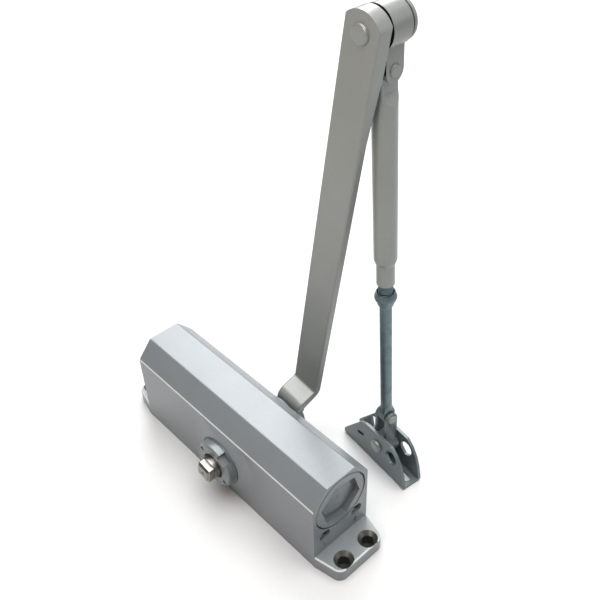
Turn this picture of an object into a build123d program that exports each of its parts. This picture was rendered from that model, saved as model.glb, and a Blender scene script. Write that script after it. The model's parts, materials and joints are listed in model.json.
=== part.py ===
"""Surface-mounted rack-and-pinion door closer with a two-piece arm and a parallel shoe.

Frame, in millimetres: X runs along the body towards its regulating valves, Y along the spindle
towards the side that carries the arm, and Z away from the mounting face. The origin lies on the
mounting face, midway between the four fixing holes. The shoe rests on the plane of that face.
"""
from math import acos, cos, pi, radians, sin, tan
import os

from build123d import *

os.makedirs("parts", exist_ok=True)

# ---------------------------------------------------------------- body casting
body_length = 160.0
body_width = 41.5
body_height = 62.5
side_height = 51.0  # the chamfers start here
top_width = 21.0
edge_softening = 0.6
foot_rim_chamfer = 0.8

foot_reach = 17.25  # beyond each end face
foot_thickness = 9.5
foot_tip_width = 34.0
foot_corner_radius = 5.5
fixing_pitch_x = 184.0
fixing_pitch_y = 19.0
fixing_hole_radius = 3.5
countersink_radius = 5.85

# ---------------------------------------------------------------- cylinder bore and its plugs
bore_radius = 15.0
bore_height = 42.5  # of its axis, above the mounting face
plug_head_radius = 18.4
plug_head_depth = 3.0
plug_recess_radius = 18.85
plug_thread_radius = 16.5
plug_length = 15.0
hex_across_flats = 26.0
hex_depth = 3.6
hex_turn = -14.0  # degrees about X
plug_seal_section = 0.7  # radius of the cord
thread_clearance = 0.03

# ---------------------------------------------------------------- spindle and its glands
spindle_x = 3.0
spindle_z = 28.0
boss_rise = 2.75
boss_radius = 16.8
boss_foot_radius = 29.5
boss_relief_low = 44.8  # the boss is planed off between these heights
boss_relief_high = 50.2
gland_bore_radius = 12.5
gland_bore_depth = 7.7
gland_recess_radius = 16.1
gland_recess_depth = 0.8
gland_flange_radius = 15.5
gland_flange_rise = 0.5
gland_head_radius = 14.6
near_gland_rise = 5.7  # beyond the boss
far_gland_rise = 3.5
gland_nut_bore = 8.3
gland_rim_chamfer = 1.0
gland_notch_width = 6.6
gland_notch_depth = 3.4
gland_notch_turn = 52.0  # degrees above X
pin_hole_radius = 1.5
pin_hole_circle = 12.0
spindle_radius = 7.2
running_clearance = 0.05
shaft_hole_radius = 7.6
square_across_flats = 10.6
square_corner_radius = 6.9
near_shoulder = 32.5  # distance of the near square from the mid-plane
near_tip = 37.0
near_tip_chamfer = 1.2
centre_mark_radius = 1.2
centre_mark_depth = 0.9
far_shoulder = 28.3
far_tip = 33.1
screw_thread_radius = 3.0
tapped_depth = 12.0

# ---------------------------------------------------------------- rack and pinion
gear_module = 1.0
tooth_count = 15
pressure_angle = 20.0
addendum = 0.8
dedendum = 1.15
backlash = 0.3
pinion_half_width = 10.0
chamber_radius = 9.3
chamber_half_width = 10.6
rack_tooth_count = 12  # an even number leaves a gap in the middle
piston_half_length = 35.0
window_half_length = 22.0
piston_clearance = 0.05

# ---------------------------------------------------------------- return spring
spring_wire_radius = 1.5
spring_coil_radius = 10.5
spring_turns = 4.5

# ---------------------------------------------------------------- regulating valves
valve_y = 12.3
valve_z = 22.7
valve_head_radius = 3.8
valve_recess_depth = 1.5
valve_head_length = 6.0
valve_stem_radius = 2.4
valve_stem_length = 12.0
valve_fit = 0.08
valve_slot_width = 1.2
valve_slot_depth = 1.4

# ---------------------------------------------------------------- main arm
arm_angle = 80.0  # degrees above X
arm_length = 256.0
arm_thickness = 5.0
arm_front_low = far_shoulder
arm_front_high = 42.0
arm_hub_radius = 12.5
arm_neck_half_width = 9.3
arm_eye_reach = 10.0  # half the eye's width, and how far it goes beyond the pin
arm_end_radius = 12.0  # of the sheared end
arm_edge_radius = 0.9
joggle_start = 11.5
joggle_end = 20.7
eye_thickness = 7.65
eye_swell_start = 205.0
eye_swell_end = 240.0

# ---------------------------------------------------------------- elbow
elbow_pin_radius = 3.9
elbow_head_radius = 4.7
elbow_head_rise = 1.3
elbow_collar_radius = 5.8
elbow_gap = 1.5  # filled by the pin's collars but for the end float
elbow_end_float = 0.1
barrel_radius = 10.0
barrel_length = 11.7
ear_outer = 6.0
ear_inner = 3.2
ear_root = 0.8  # what stays between a barrel and the slot for the tongue
ear_half_width = 5.5  # the ears' near edges are flush with the barrel's near end
link_pitch = 18.2  # elbow pin to link rivet
rivet_radius = 2.4
rivet_head_radius = 3.0
rivet_head_rise = 0.9
tail_washer_radius = 9.4
tail_washer_thickness = 1.6

# ---------------------------------------------------------------- forearm
forearm_lean = 1.64  # degrees towards +X, seen along the spindle
forearm_tilt = 1.98  # degrees towards +Y
tube_radius = 6.1
tube_bore_radius = 4.4
tube_end = 102.5  # distances below the upper rivet from here on
swage_start = 106.0
swage_end = 118.5
swage_radius = 4.9
tongue_thickness = 6.1
tongue_end = 11.0
round_start = 16.5
thread_radius = 3.85
shank_radius = 3.4
thread_start = 84.0
thread_end = 133.5
lock_nut_start = 124.2
lock_nut_end = 133.0
lock_nut_radius = 6.1
lock_nut_cup_radius = 4.7
lock_nut_cup_depth = 3.0
rod_flare_length = 9.0
rod_eye_half_width = 4.1
rod_eye_reach = 4.0

# ---------------------------------------------------------------- shoe
shoe_yaw = -7.5  # degrees about Z
shoe_pin_height = 17.0
shoe_link_pitch = 23.5
shoe_inner_width = 10.4
shoe_sheet = 1.8
shoe_height = 27.6
shoe_left = -31.5  # along the shoe, from its pin
shoe_right = 26.0
shoe_top_left = -8.2
shoe_top_right = 13.2
shoe_toe_height = 4.3
shoe_shoulder_radius = 2.0
window_along = 13.2
window_height = 18.2
window_half_run = 4.8
window_half_rise = 5.4
window_turn = -20.0
lance_along = -15.5
lance_height = 14.5
lance_length = 6.4
lance_width = 2.6
lance_turn = 16.0
teardrop_along = -16.6
teardrop_height = 16.4
teardrop_radius = 3.6
teardrop_tip_radius = 1.5
teardrop_drop = 5.6
teardrop_lean = 0.8
shoe_barrel_radius = 7.5
shoe_barrel_length = 9.8
shoe_ear_half_width = 4.2
shoe_ear_outer = 5.4
shoe_pin_radius = 3.4
shoe_head_radius = 4.3
shoe_head_rise = 2.0
screw_slot_width = 4.6
screw_slot_length = 9.0
screw_slot_inset = 7.2

# ================================================================ derived geometry
half_length = body_length / 2
half_width = body_width / 2
boss_face = half_width + boss_rise
pitch_radius = gear_module * tooth_count / 2
rack_pitch_height = spindle_z + pitch_radius

arm_dir = Vector(cos(radians(arm_angle)), 0, sin(radians(arm_angle)))
elbow_y = arm_front_high + eye_thickness + elbow_gap + ear_half_width
elbow = Vector(spindle_x, elbow_y, spindle_z) + arm_dir * arm_length

lean = radians(forearm_lean)
tilt = radians(forearm_tilt)
down_link = Vector(sin(lean), 0, -cos(lean))
down_forearm = Vector(sin(lean) * cos(tilt), sin(tilt), -cos(lean) * cos(tilt))
upper_rivet = elbow + down_link * link_pitch

shoe_cross = Vector(-sin(radians(shoe_yaw)), cos(radians(shoe_yaw)), 0)
shoe_along = Vector(cos(radians(shoe_yaw)), sin(radians(shoe_yaw)), 0)
lower_rivet_axis = down_forearm.cross(shoe_cross).normalized()
shoe_link_up = lower_rivet_axis.cross(shoe_cross).normalized()
drop = upper_rivet.Z - shoe_link_up.Z * shoe_link_pitch - shoe_pin_height
forearm_length = -drop / down_forearm.Z
lower_rivet = upper_rivet + down_forearm * forearm_length
shoe_pin_centre = lower_rivet - shoe_link_up * shoe_link_pitch

# Frames: across the spindle, along the arm, and down each link of the chain
SPINDLE = Plane(origin=(spindle_x, 0, spindle_z), x_dir=(1, 0, 0), z_dir=(0, -1, 0))
BORE = Plane(origin=(0, 0, bore_height), x_dir=(0, 1, 0), z_dir=(1, 0, 0))
ARM_FACE = Plane(origin=(spindle_x, 0, spindle_z), x_dir=arm_dir, z_dir=(0, -1, 0))
ARM_SIDE = Plane(origin=(spindle_x, 0, spindle_z), x_dir=(0, 1, 0), z_dir=Vector(0, 1, 0).cross(arm_dir))
ELBOW_LINK = Plane(origin=elbow, x_dir=(cos(lean), 0, sin(lean)), z_dir=down_link * -1)
FOREARM = Plane(origin=upper_rivet, x_dir=(cos(lean), 0, sin(lean)), z_dir=down_forearm)
ROD_END = Plane(origin=lower_rivet, x_dir=lower_rivet_axis, z_dir=down_forearm)
SHOE_LINK = Plane(origin=shoe_pin_centre, x_dir=lower_rivet_axis, z_dir=shoe_link_up)
SHOE = Plane(
    origin=(shoe_pin_centre.X, shoe_pin_centre.Y, 0), x_dir=shoe_along, z_dir=(0, 0, 1)
)


def across(plane: Plane, shift: float = 0.0) -> Plane:
    """The plane square to a frame's own Y, shift along that Y, looking back along it."""
    origin = plane.origin + plane.y_dir * shift
    return Plane(origin=origin, x_dir=plane.x_dir, z_dir=plane.y_dir * -1)


def along(plane: Plane, shift: float = 0.0) -> Plane:
    """The plane square to a frame's own X, shift along that X."""
    origin = plane.origin + plane.x_dir * shift
    return Plane(origin=origin, x_dir=plane.y_dir, z_dir=plane.x_dir)


def save(name: str, part: Part) -> None:
    """Labels a finished piece and writes it as its own STEP file."""
    part.label = name
    export_step(part, f"parts/{name}.step")


# ================================================================ housing
# The bosses round the glands swell softly out of the side walls and are planed off above
with BuildPart() as bosses:
    for side in (-1, 1):
        with BuildSketch(Plane(origin=(spindle_x, 0, spindle_z), x_dir=(1, 0, 0), z_dir=(0, 0, 1))):
            with BuildLine():
                Polyline(
                    (boss_foot_radius, side * half_width),
                    (boss_foot_radius, side * (half_width - 1)),
                    (0, side * (half_width - 1)),
                    (0, side * boss_face),
                    (boss_radius, side * boss_face),
                )
                Spline(
                    (boss_radius, side * boss_face),
                    (22.2, side * (half_width + 1.1)),
                    (boss_foot_radius, side * half_width),
                    tangents=((1, -side * 0.36), (1, -side * 0.05)),
                )
            make_face()
        revolve(axis=Axis((spindle_x, 0, spindle_z), (0, 1, 0)))
    with BuildSketch(Plane.YZ.offset(spindle_x - boss_foot_radius - 1)):
        with BuildLine():
            Polyline(
                (-boss_face - 1, 0),
                (boss_face + 1, 0),
                (boss_face + 1, boss_relief_low - 1.6),
                (half_width, boss_relief_high),
                (-half_width, boss_relief_high),
                (-boss_face - 1, boss_relief_low - 1.6),
                close=True,
            )
        make_face()
    extrude(amount=2 * boss_foot_radius + 2, mode=Mode.INTERSECT)

with BuildPart() as housing:
    with BuildSketch(Plane.YZ.offset(-half_length)):
        with BuildLine():
            Polyline(
                (-half_width, 0),
                (half_width, 0),
                (half_width, side_height),
                (top_width / 2, body_height),
                (-top_width / 2, body_height),
                (-half_width, side_height),
                close=True,
            )
        make_face()
    extrude(amount=body_length)
    chamfer(housing.edges().filter_by(Axis.X).group_by(Axis.Z)[1:], edge_softening)

    for end in (-1, 1):
        with BuildSketch() as foot_plan:
            with BuildLine():
                Polyline(
                    (end * (half_length - 1), -half_width),
                    (end * half_length, -half_width),
                    (end * (half_length + foot_reach), -foot_tip_width / 2),
                    (end * (half_length + foot_reach), foot_tip_width / 2),
                    (end * half_length, half_width),
                    (end * (half_length - 1), half_width),
                    close=True,
                )
            make_face()
            tip = foot_plan.vertices().group_by(Axis.X)[-1 if end > 0 else 0]
            fillet(tip, foot_corner_radius)
        extrude(amount=foot_thickness)
        top_rim = housing.faces().filter_by(Plane.XY).filter_by(
            lambda face: abs(face.center().Z - foot_thickness) < 0.01
            and face.center().X * end > 0
        )
        chamfer(
            top_rim.edges().filter_by(lambda edge: abs(edge.center().X) > half_length + 1),
            foot_rim_chamfer,
        )

    add(bosses.part)

    # Fixing holes, countersunk from above
    with Locations(Plane.XY.offset(foot_thickness)):
        with GridLocations(fixing_pitch_x, fixing_pitch_y, 2, 2):
            CounterSinkHole(fixing_hole_radius, countersink_radius, counter_sink_angle=90)

    # Cylinder bore, open at both ends, with a stepped seat for each plug
    with BuildSketch(BORE.offset(-half_length)):
        Circle(bore_radius)
    extrude(amount=body_length, mode=Mode.SUBTRACT)
    for end in (-1, 1):
        seat = Plane(origin=(end * half_length, 0, bore_height), z_dir=(-end, 0, 0))
        with BuildSketch(seat):
            Circle(plug_recess_radius)
        extrude(amount=plug_head_depth, mode=Mode.SUBTRACT)
        with BuildSketch(seat):
            Circle(plug_thread_radius + thread_clearance)
        extrude(amount=plug_length + 0.5, mode=Mode.SUBTRACT)

    # Pinion chamber, shaft hole and gland bores along the spindle
    for radius, reach in (
        (chamber_radius, chamber_half_width),
        (shaft_hole_radius, boss_face + 1),
    ):
        with BuildSketch(SPINDLE):
            Circle(radius)
        extrude(amount=reach, both=True, mode=Mode.SUBTRACT)
    for side in (-1, 1):
        mouth = Plane(origin=(spindle_x, side * boss_face, spindle_z), z_dir=(0, -side, 0))
        for radius, depth in (
            (gland_recess_radius, gland_recess_depth),
            (gland_bore_radius, gland_bore_depth),
        ):
            with BuildSketch(mouth):
                Circle(radius)
            extrude(amount=depth, mode=Mode.SUBTRACT)

    # Regulating valve bores in the right end face, and the oil ways that they close
    for side in (-1, 1):
        valve_mouth = Plane(origin=(half_length, side * valve_y, valve_z), z_dir=(-1, 0, 0))
        with BuildSketch(valve_mouth):
            Circle(valve_head_radius + valve_fit)
        extrude(amount=valve_recess_depth + valve_head_length + 0.5, mode=Mode.SUBTRACT)
        with BuildSketch(valve_mouth):
            Circle(valve_stem_radius + 0.4)
        extrude(
            amount=valve_recess_depth + valve_head_length + valve_stem_length + 1.0,
            mode=Mode.SUBTRACT,
        )
        oil_way = Plane(
            origin=(half_length - 18.0, side * (valve_y - 1), valve_z),
            z_dir=(0, -side * 0.25, 1),
        )
        with BuildSketch(oil_way):
            Circle(1.2)
        extrude(amount=14, mode=Mode.SUBTRACT)

save("housing", housing.part)

# ================================================================ end plugs and their seals
plug_groove = plug_length - 3.0
for end, name in ((1, "valve_end_plug"), (-1, "spring_end_plug")):
    outer = Plane(origin=(end * half_length, 0, bore_height), x_dir=(0, 1, 0), z_dir=(-end, 0, 0))
    with BuildPart() as end_plug:
        with BuildSketch(outer):
            Circle(plug_head_radius)
        extrude(amount=plug_head_depth)
        with BuildSketch(outer):
            Circle(plug_thread_radius)
        extrude(amount=plug_length)
        rim = end_plug.edges().filter_by(GeomType.CIRCLE).sort_by(Axis.X, reverse=end > 0)[0]
        chamfer(rim, 0.7)
        with BuildSketch(outer):
            RegularPolygon(hex_across_flats / 2, 6, major_radius=False, rotation=end * -hex_turn)
        extrude(amount=hex_depth, mode=Mode.SUBTRACT)
        with BuildSketch(outer.offset(plug_groove)):
            Circle(plug_thread_radius + 1)
            Circle(plug_thread_radius - 1.4, mode=Mode.SUBTRACT)
        extrude(amount=2.2, mode=Mode.SUBTRACT)
    save(name, end_plug.part)

with BuildPart() as plug_seals:
    for end in (-1, 1):
        centre = Plane(
            origin=(end * (half_length - plug_groove - 1.1), 0, bore_height), z_dir=(1, 0, 0)
        )
        with Locations(centre):
            Torus(plug_thread_radius - 0.69, plug_seal_section)
save("plug_seals", plug_seals.part)

# ================================================================ spindle bearings, seals, glands
bearing_width = 4.6
with BuildPart() as spindle_bearings:
    for side in (-1, 1):
        inner = Plane(
            origin=(spindle_x, side * (boss_face - gland_bore_depth), spindle_z),
            z_dir=(0, side, 0),
        )
        with BuildSketch(inner):
            Circle(gland_bore_radius - thread_clearance)
            Circle(spindle_radius + running_clearance, mode=Mode.SUBTRACT)
        extrude(amount=bearing_width)
save("spindle_bearings", spindle_bearings.part)

spigot_length = gland_bore_depth - bearing_width
for side, rise, name in (
    (-1, near_gland_rise, "near_gland_nut"),
    (1, far_gland_rise, "far_gland_nut"),
):
    face = Plane(
        origin=(spindle_x, side * boss_face, spindle_z), x_dir=(1, 0, 0), z_dir=(0, side, 0)
    )
    with BuildPart() as gland_nut:
        with BuildSketch(face.offset(-spigot_length)):
            Circle(gland_bore_radius - thread_clearance)
        extrude(amount=spigot_length)
        with BuildSketch(face.offset(-gland_recess_depth)):
            Circle(gland_flange_radius)
        extrude(amount=gland_recess_depth + gland_flange_rise)
        with BuildSketch(face):
            Circle(gland_head_radius)
        extrude(amount=rise)
        front_rim = (
            gland_nut.edges().filter_by(GeomType.CIRCLE).sort_by(Axis.Y, reverse=side > 0)[0]
        )
        chamfer(front_rim, gland_rim_chamfer)
        with BuildSketch(face.offset(gland_flange_rise)):
            for turn in (gland_notch_turn, gland_notch_turn + 180):
                with Locations(Rotation(0, 0, -side * turn)):
                    with Locations((gland_head_radius - gland_notch_depth / 2 + 1, 0)):
                        Rectangle(gland_notch_depth + 2, gland_notch_width)
        extrude(amount=rise, mode=Mode.SUBTRACT)
        with BuildSketch(face.offset(rise)):
            with PolarLocations(pin_hole_circle, 2, start_angle=-side * (gland_notch_turn + 90)):
                Circle(pin_hole_radius)
        extrude(amount=-2.5, mode=Mode.SUBTRACT)
        with BuildSketch(face.offset(-spigot_length)):
            Circle(gland_nut_bore)
        extrude(amount=spigot_length + rise, mode=Mode.SUBTRACT)
    save(name, gland_nut.part)

with BuildPart() as spindle_seals:
    for side, rise in ((-1, near_gland_rise), (1, far_gland_rise)):
        root = Plane(
            origin=(spindle_x, side * (boss_face - spigot_length), spindle_z), z_dir=(0, side, 0)
        )
        with BuildSketch(root):
            Circle(gland_nut_bore - 0.02)
            Circle(spindle_radius + running_clearance, mode=Mode.SUBTRACT)
        extrude(amount=spigot_length + rise - 0.6)
save("spindle_seals", spindle_seals.part)

# ================================================================ pinion spindle
base_radius = pitch_radius * cos(radians(pressure_angle))
tip_radius = pitch_radius + addendum * gear_module
root_radius = pitch_radius - dedendum * gear_module
core_radius = root_radius - 0.2
half_tooth_angle = (pi * gear_module / 2 - backlash) / 2 / pitch_radius


def involute_angle(radius: float) -> float:
    """Roll angle minus its arc tangent, for the flank's point at this radius."""
    pressure = acos(base_radius / radius)
    return tan(pressure) - pressure


def flank_point(radius: float, side: int) -> tuple[float, float]:
    """A point of the flank of the tooth that is centred on the sketch's own Y."""
    swing = half_tooth_angle + involute_angle(pitch_radius) - involute_angle(radius)
    return (side * radius * sin(swing), radius * cos(swing))


flank_radii = [base_radius + (tip_radius - base_radius) * step / 6 for step in range(7)]
with BuildPart() as spindle:
    with BuildSketch(SPINDLE):
        Circle(root_radius)
        with BuildSketch(SPINDLE, mode=Mode.PRIVATE) as one_tooth:
            with BuildLine():
                right_side = Spline(*[flank_point(radius, 1) for radius in flank_radii])
                left_side = Spline(*[flank_point(radius, -1) for radius in flank_radii])
                foot_right = (right_side @ 0).X
                Polyline(left_side @ 0, (-foot_right, base_radius - 1.6), (foot_right, base_radius - 1.6))
                Line((foot_right, base_radius - 1.6), right_side @ 0)
                ThreePointArc(left_side @ 1, (0, tip_radius), right_side @ 1)
            make_face()
        with PolarLocations(0, tooth_count):
            add(one_tooth.sketch_local)
    extrude(amount=pinion_half_width, both=True)
    with BuildSketch(SPINDLE):
        Circle(core_radius)
    extrude(amount=near_shoulder)
    with BuildSketch(SPINDLE):
        Circle(core_radius)
    extrude(amount=-far_shoulder)
    for start, stop in ((pinion_half_width + 0.9, near_shoulder), (-pinion_half_width - 0.9, -far_shoulder)):
        with BuildSketch(SPINDLE.offset(start)):
            Circle(spindle_radius)
        extrude(amount=stop - start)
    for start, stop in ((near_shoulder, near_tip), (-far_shoulder, -far_tip)):
        with BuildSketch(SPINDLE.offset(start)):
            Rectangle(square_across_flats, square_across_flats, rotation=arm_angle)
            Circle(square_corner_radius, mode=Mode.INTERSECT)
        extrude(amount=stop - start)
    near_end = spindle.faces().sort_by(Axis.Y)[0]
    chamfer(near_end.edges(), near_tip_chamfer)
    with BuildSketch(SPINDLE.offset(near_tip)):
        Circle(centre_mark_radius)
    extrude(amount=-centre_mark_depth, taper=40, mode=Mode.SUBTRACT)
    with BuildSketch(SPINDLE.offset(-far_tip)):
        Circle(screw_thread_radius)
    extrude(amount=tapped_depth, mode=Mode.SUBTRACT)
save("pinion_spindle", spindle.part)

# ================================================================ rack piston
piston_radius = bore_radius - piston_clearance
rack_root = rack_pitch_height + dedendum * gear_module
rack_tip = rack_pitch_height - addendum * gear_module
tooth_pitch = pi * gear_module
flank_slope = tan(radians(pressure_angle))
half_tooth_at_pitch = (tooth_pitch / 2 - backlash) / 2
rack_tip_half = half_tooth_at_pitch - flank_slope * (rack_pitch_height - rack_tip)
rack_root_half = half_tooth_at_pitch + flank_slope * (rack_root - rack_pitch_height)
with BuildPart() as piston:
    with BuildSketch(BORE.offset(spindle_x - piston_half_length)):
        Circle(piston_radius)
    extrude(amount=2 * piston_half_length)
    with BuildSketch(Plane.XZ.offset(-piston_radius)):
        with Locations((spindle_x, (rack_root + spindle_z) / 2 - 10)):
            Rectangle(2 * window_half_length, rack_root - spindle_z + 20)
    extrude(amount=2 * piston_radius, mode=Mode.SUBTRACT)
    # One pinion tooth points straight up at rest, into the middle gap of the rack
    with BuildSketch(Plane.XZ.offset(-pinion_half_width)):
        with BuildSketch(mode=Mode.PRIVATE) as rack_tooth:
            with BuildLine():
                Polyline(
                    (-rack_root_half, rack_root),
                    (-rack_tip_half, rack_tip),
                    (rack_tip_half, rack_tip),
                    (rack_root_half, rack_root),
                    (rack_root_half, rack_root + 1),
                    (-rack_root_half, rack_root + 1),
                    close=True,
                )
            make_face()
        for index in range(rack_tooth_count):
            with Locations((spindle_x + (index - (rack_tooth_count - 1) / 2) * tooth_pitch, 0)):
                add(rack_tooth.sketch_local)
    extrude(amount=2 * pinion_half_width)
    with BuildSketch(BORE.offset(spindle_x - piston_half_length)):
        Circle(7.0)
    extrude(amount=9, mode=Mode.SUBTRACT)
    with BuildSketch(BORE.offset(spindle_x + piston_half_length)):
        Circle(4.0)
    extrude(amount=-8, mode=Mode.SUBTRACT)
    for shift in (-piston_half_length + 4.5, piston_half_length - 6.5):
        with BuildSketch(BORE.offset(spindle_x + shift)):
            Circle(piston_radius + 1)
            Circle(piston_radius - 1.6, mode=Mode.SUBTRACT)
        extrude(amount=2.4, mode=Mode.SUBTRACT)
save("rack_piston", piston.part)

with BuildPart() as piston_rings:
    for shift in (-piston_half_length + 4.6, piston_half_length - 6.4):
        with BuildSketch(BORE.offset(spindle_x + shift)):
            Circle(piston_radius - 0.25)
            Circle(piston_radius - 1.6, mode=Mode.SUBTRACT)
        extrude(amount=2.2)
save("piston_rings", piston_rings.part)

valve_face = spindle_x + piston_half_length
with BuildPart() as check_valve_ball:
    with Locations((valve_face - 5.4, 0, bore_height)):
        Sphere(2.4)
save("check_valve_ball", check_valve_ball.part)

with BuildPart() as check_valve_seat:
    with BuildSketch(BORE.offset(valve_face - 3.0)):
        Circle(4.0 - 0.02)
        Circle(1.5, mode=Mode.SUBTRACT)
    extrude(amount=3.0)
save("check_valve_seat", check_valve_seat.part)

# ================================================================ return spring and its seat
spring_low = -(half_length - plug_length)
seat_thickness = 2.0
with BuildPart() as spring_seat:
    with BuildSketch(BORE.offset(spring_low)):
        Circle(bore_radius - 1.2)
    extrude(amount=seat_thickness)
    with BuildSketch(BORE.offset(spring_low + seat_thickness)):
        Circle(spring_coil_radius - spring_wire_radius - 0.5)
        Circle(5.0, mode=Mode.SUBTRACT)
    extrude(amount=2.5)
save("spring_seat", spring_seat.part)

spring_from = spring_low + seat_thickness + spring_wire_radius + 0.05
spring_to = spindle_x - piston_half_length - spring_wire_radius - 0.05
with BuildPart() as return_spring:
    with BuildLine() as coil:
        Helix(
            pitch=(spring_to - spring_from) / spring_turns,
            height=spring_to - spring_from,
            radius=spring_coil_radius,
            center=(spring_from, 0, bore_height),
            direction=(1, 0, 0),
        )
    with BuildSketch(Plane(origin=coil.line @ 0, z_dir=coil.line % 0)):
        Circle(spring_wire_radius)
    sweep(is_frenet=True)
save("return_spring", return_spring.part)

# ================================================================ regulating valve screws
valve_top = half_length - valve_recess_depth
for side, name in ((-1, "sweep_valve_screw"), (1, "latch_valve_screw")):
    head = Plane(origin=(valve_top, side * valve_y, valve_z), x_dir=(0, 1, 0), z_dir=(-1, 0, 0))
    with BuildPart() as valve_screw:
        with BuildSketch(head):
            Circle(valve_head_radius)
        extrude(amount=valve_head_length)
        with BuildSketch(head.offset(valve_head_length)):
            Circle(valve_stem_radius)
        extrude(amount=valve_stem_length)
        chamfer(valve_screw.faces().sort_by(Axis.X)[0].edges(), 1.2)
        chamfer(valve_screw.faces().sort_by(Axis.X)[-1].edges(), 0.4)
        with BuildSketch(head):
            Rectangle(3 * valve_head_radius, valve_slot_width, rotation=35)
        extrude(amount=valve_slot_depth, mode=Mode.SUBTRACT)
        with BuildSketch(head.offset(valve_head_length - 2.6)):
            Circle(valve_head_radius + 1)
            Circle(valve_head_radius - 1.1, mode=Mode.SUBTRACT)
        extrude(amount=1.6, mode=Mode.SUBTRACT)
    save(name, valve_screw.part)

for side, name in ((-1, "sweep_valve_seal"), (1, "latch_valve_seal")):
    with BuildPart() as valve_seal:
        groove = Plane(
            origin=(valve_top - valve_head_length + 1.8, side * valve_y, valve_z), z_dir=(1, 0, 0)
        )
        with Locations(groove):
            Torus(valve_head_radius - 0.62, 0.45)
    save(name, valve_seal.part)

# ================================================================ main arm
hub_back = arm_front_low + arm_thickness
with BuildPart() as main_arm:
    with BuildSketch(ARM_SIDE) as arm_profile:
        with BuildLine():
            Polyline(
                (arm_front_low, -arm_hub_radius),
                (arm_front_low, joggle_start + 4.0),
                (arm_front_high, joggle_end),
                (arm_front_high, arm_length + arm_eye_reach),
                (arm_front_high + eye_thickness, arm_length + arm_eye_reach),
                (arm_front_high + eye_thickness, eye_swell_end),
                (arm_front_high + arm_thickness, eye_swell_start),
                (arm_front_high + arm_thickness, joggle_end - 3.9),
                (hub_back, joggle_start - 1.6),
                (hub_back, -arm_hub_radius),
                close=True,
            )
        make_face()
        for corner, radius in (
            ((arm_front_low, joggle_start + 4.0), 7.0),
            ((hub_back, joggle_start - 1.6), 2.2),
            ((arm_front_high + arm_thickness, joggle_end - 3.9), 7.0),
            ((arm_front_high, joggle_end), 1.5),
        ):
            fillet(arm_profile.vertices().sort_by_distance(Vector(*corner))[0], radius)
    extrude(amount=arm_hub_radius + 1, both=True)
    with BuildSketch(ARM_FACE):
        with BuildSketch(mode=Mode.ADD):
            with Locations((joggle_start, 0)):
                Circle(arm_neck_half_width)
            with Locations((arm_length, 0)):
                Rectangle(2 * arm_eye_reach, 2 * arm_eye_reach)
            make_hull()
        Circle(arm_hub_radius)
    extrude(amount=-arm_front_high - 2 * eye_thickness, mode=Mode.INTERSECT)
    with BuildSketch(ARM_FACE):
        with Locations((arm_length + arm_eye_reach - arm_end_radius, 0)):
            Circle(arm_end_radius)
        with Locations((arm_length / 2 - arm_end_radius, 0)):
            Rectangle(arm_length + arm_end_radius, 4 * arm_end_radius)
    extrude(amount=-arm_front_high - 2 * eye_thickness, mode=Mode.INTERSECT)
    with BuildSketch(ARM_FACE):
        Rectangle(square_across_flats + 0.04, square_across_flats + 0.04)
        Circle(square_corner_radius + 0.02, mode=Mode.INTERSECT)
    extrude(amount=-hub_back - 1, mode=Mode.SUBTRACT)
    with BuildSketch(ARM_FACE):
        with Locations((arm_length, 0)):
            Circle(elbow_pin_radius)
    extrude(amount=-arm_front_high - 2 * eye_thickness, mode=Mode.SUBTRACT)
    long_edges = main_arm.edges().filter_by(lambda edge: edge.length > arm_length / 2)
    fillet(long_edges, arm_edge_radius)
save("main_arm", main_arm.part)

washer_thickness = 1.5
with BuildPart() as arm_washer:
    with BuildSketch(SPINDLE.offset(-hub_back)):
        Circle(8.5)
        Circle(screw_thread_radius + 0.2, mode=Mode.SUBTRACT)
    extrude(amount=-washer_thickness)
save("arm_washer", arm_washer.part)

screw_head_base = hub_back + washer_thickness
with BuildPart() as arm_screw:
    with BuildSketch(SPINDLE.offset(-screw_head_base)):
        RegularPolygon(5.0, 6, major_radius=False)
    extrude(amount=-4.0)
    with BuildSketch(SPINDLE.offset(-screw_head_base)):
        Circle(screw_thread_radius - 0.03)
    extrude(amount=screw_head_base - far_tip + tapped_depth - 2)
save("arm_screw", arm_screw.part)

# ================================================================ elbow pin, washer and link
eye_back = arm_front_high + eye_thickness
barrel_start = eye_back + elbow_gap
barrel_end = barrel_start + barrel_length
tail_start = barrel_end + elbow_gap
PIN_AXIS = Plane(origin=(elbow.X, 0, elbow.Z), x_dir=(1, 0, 0), z_dir=(0, 1, 0))
tail_end = tail_start + tail_washer_thickness
with BuildPart() as elbow_pin:
    for start, stop, radius in (
        (arm_front_high - elbow_head_rise, arm_front_high, elbow_head_radius),
        (arm_front_high, tail_end, elbow_pin_radius),
        (eye_back, barrel_start - elbow_end_float, elbow_collar_radius),
        (barrel_end + elbow_end_float, tail_start, elbow_collar_radius),
        (tail_end, tail_end + elbow_head_rise, elbow_head_radius),
    ):
        with BuildSketch(PIN_AXIS.offset(start)):
            Circle(radius)
        extrude(amount=stop - start)
    for face in (elbow_pin.faces().sort_by(Axis.Y)[0], elbow_pin.faces().sort_by(Axis.Y)[-1]):
        fillet(face.edges(), elbow_head_rise - 0.1)
save("elbow_pin", elbow_pin.part)

with BuildPart() as elbow_washer:
    with BuildSketch(PIN_AXIS.offset(tail_start)):
        Circle(tail_washer_radius)
        Circle(elbow_pin_radius, mode=Mode.SUBTRACT)
    extrude(amount=tail_washer_thickness)
save("elbow_washer", elbow_washer.part)


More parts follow.
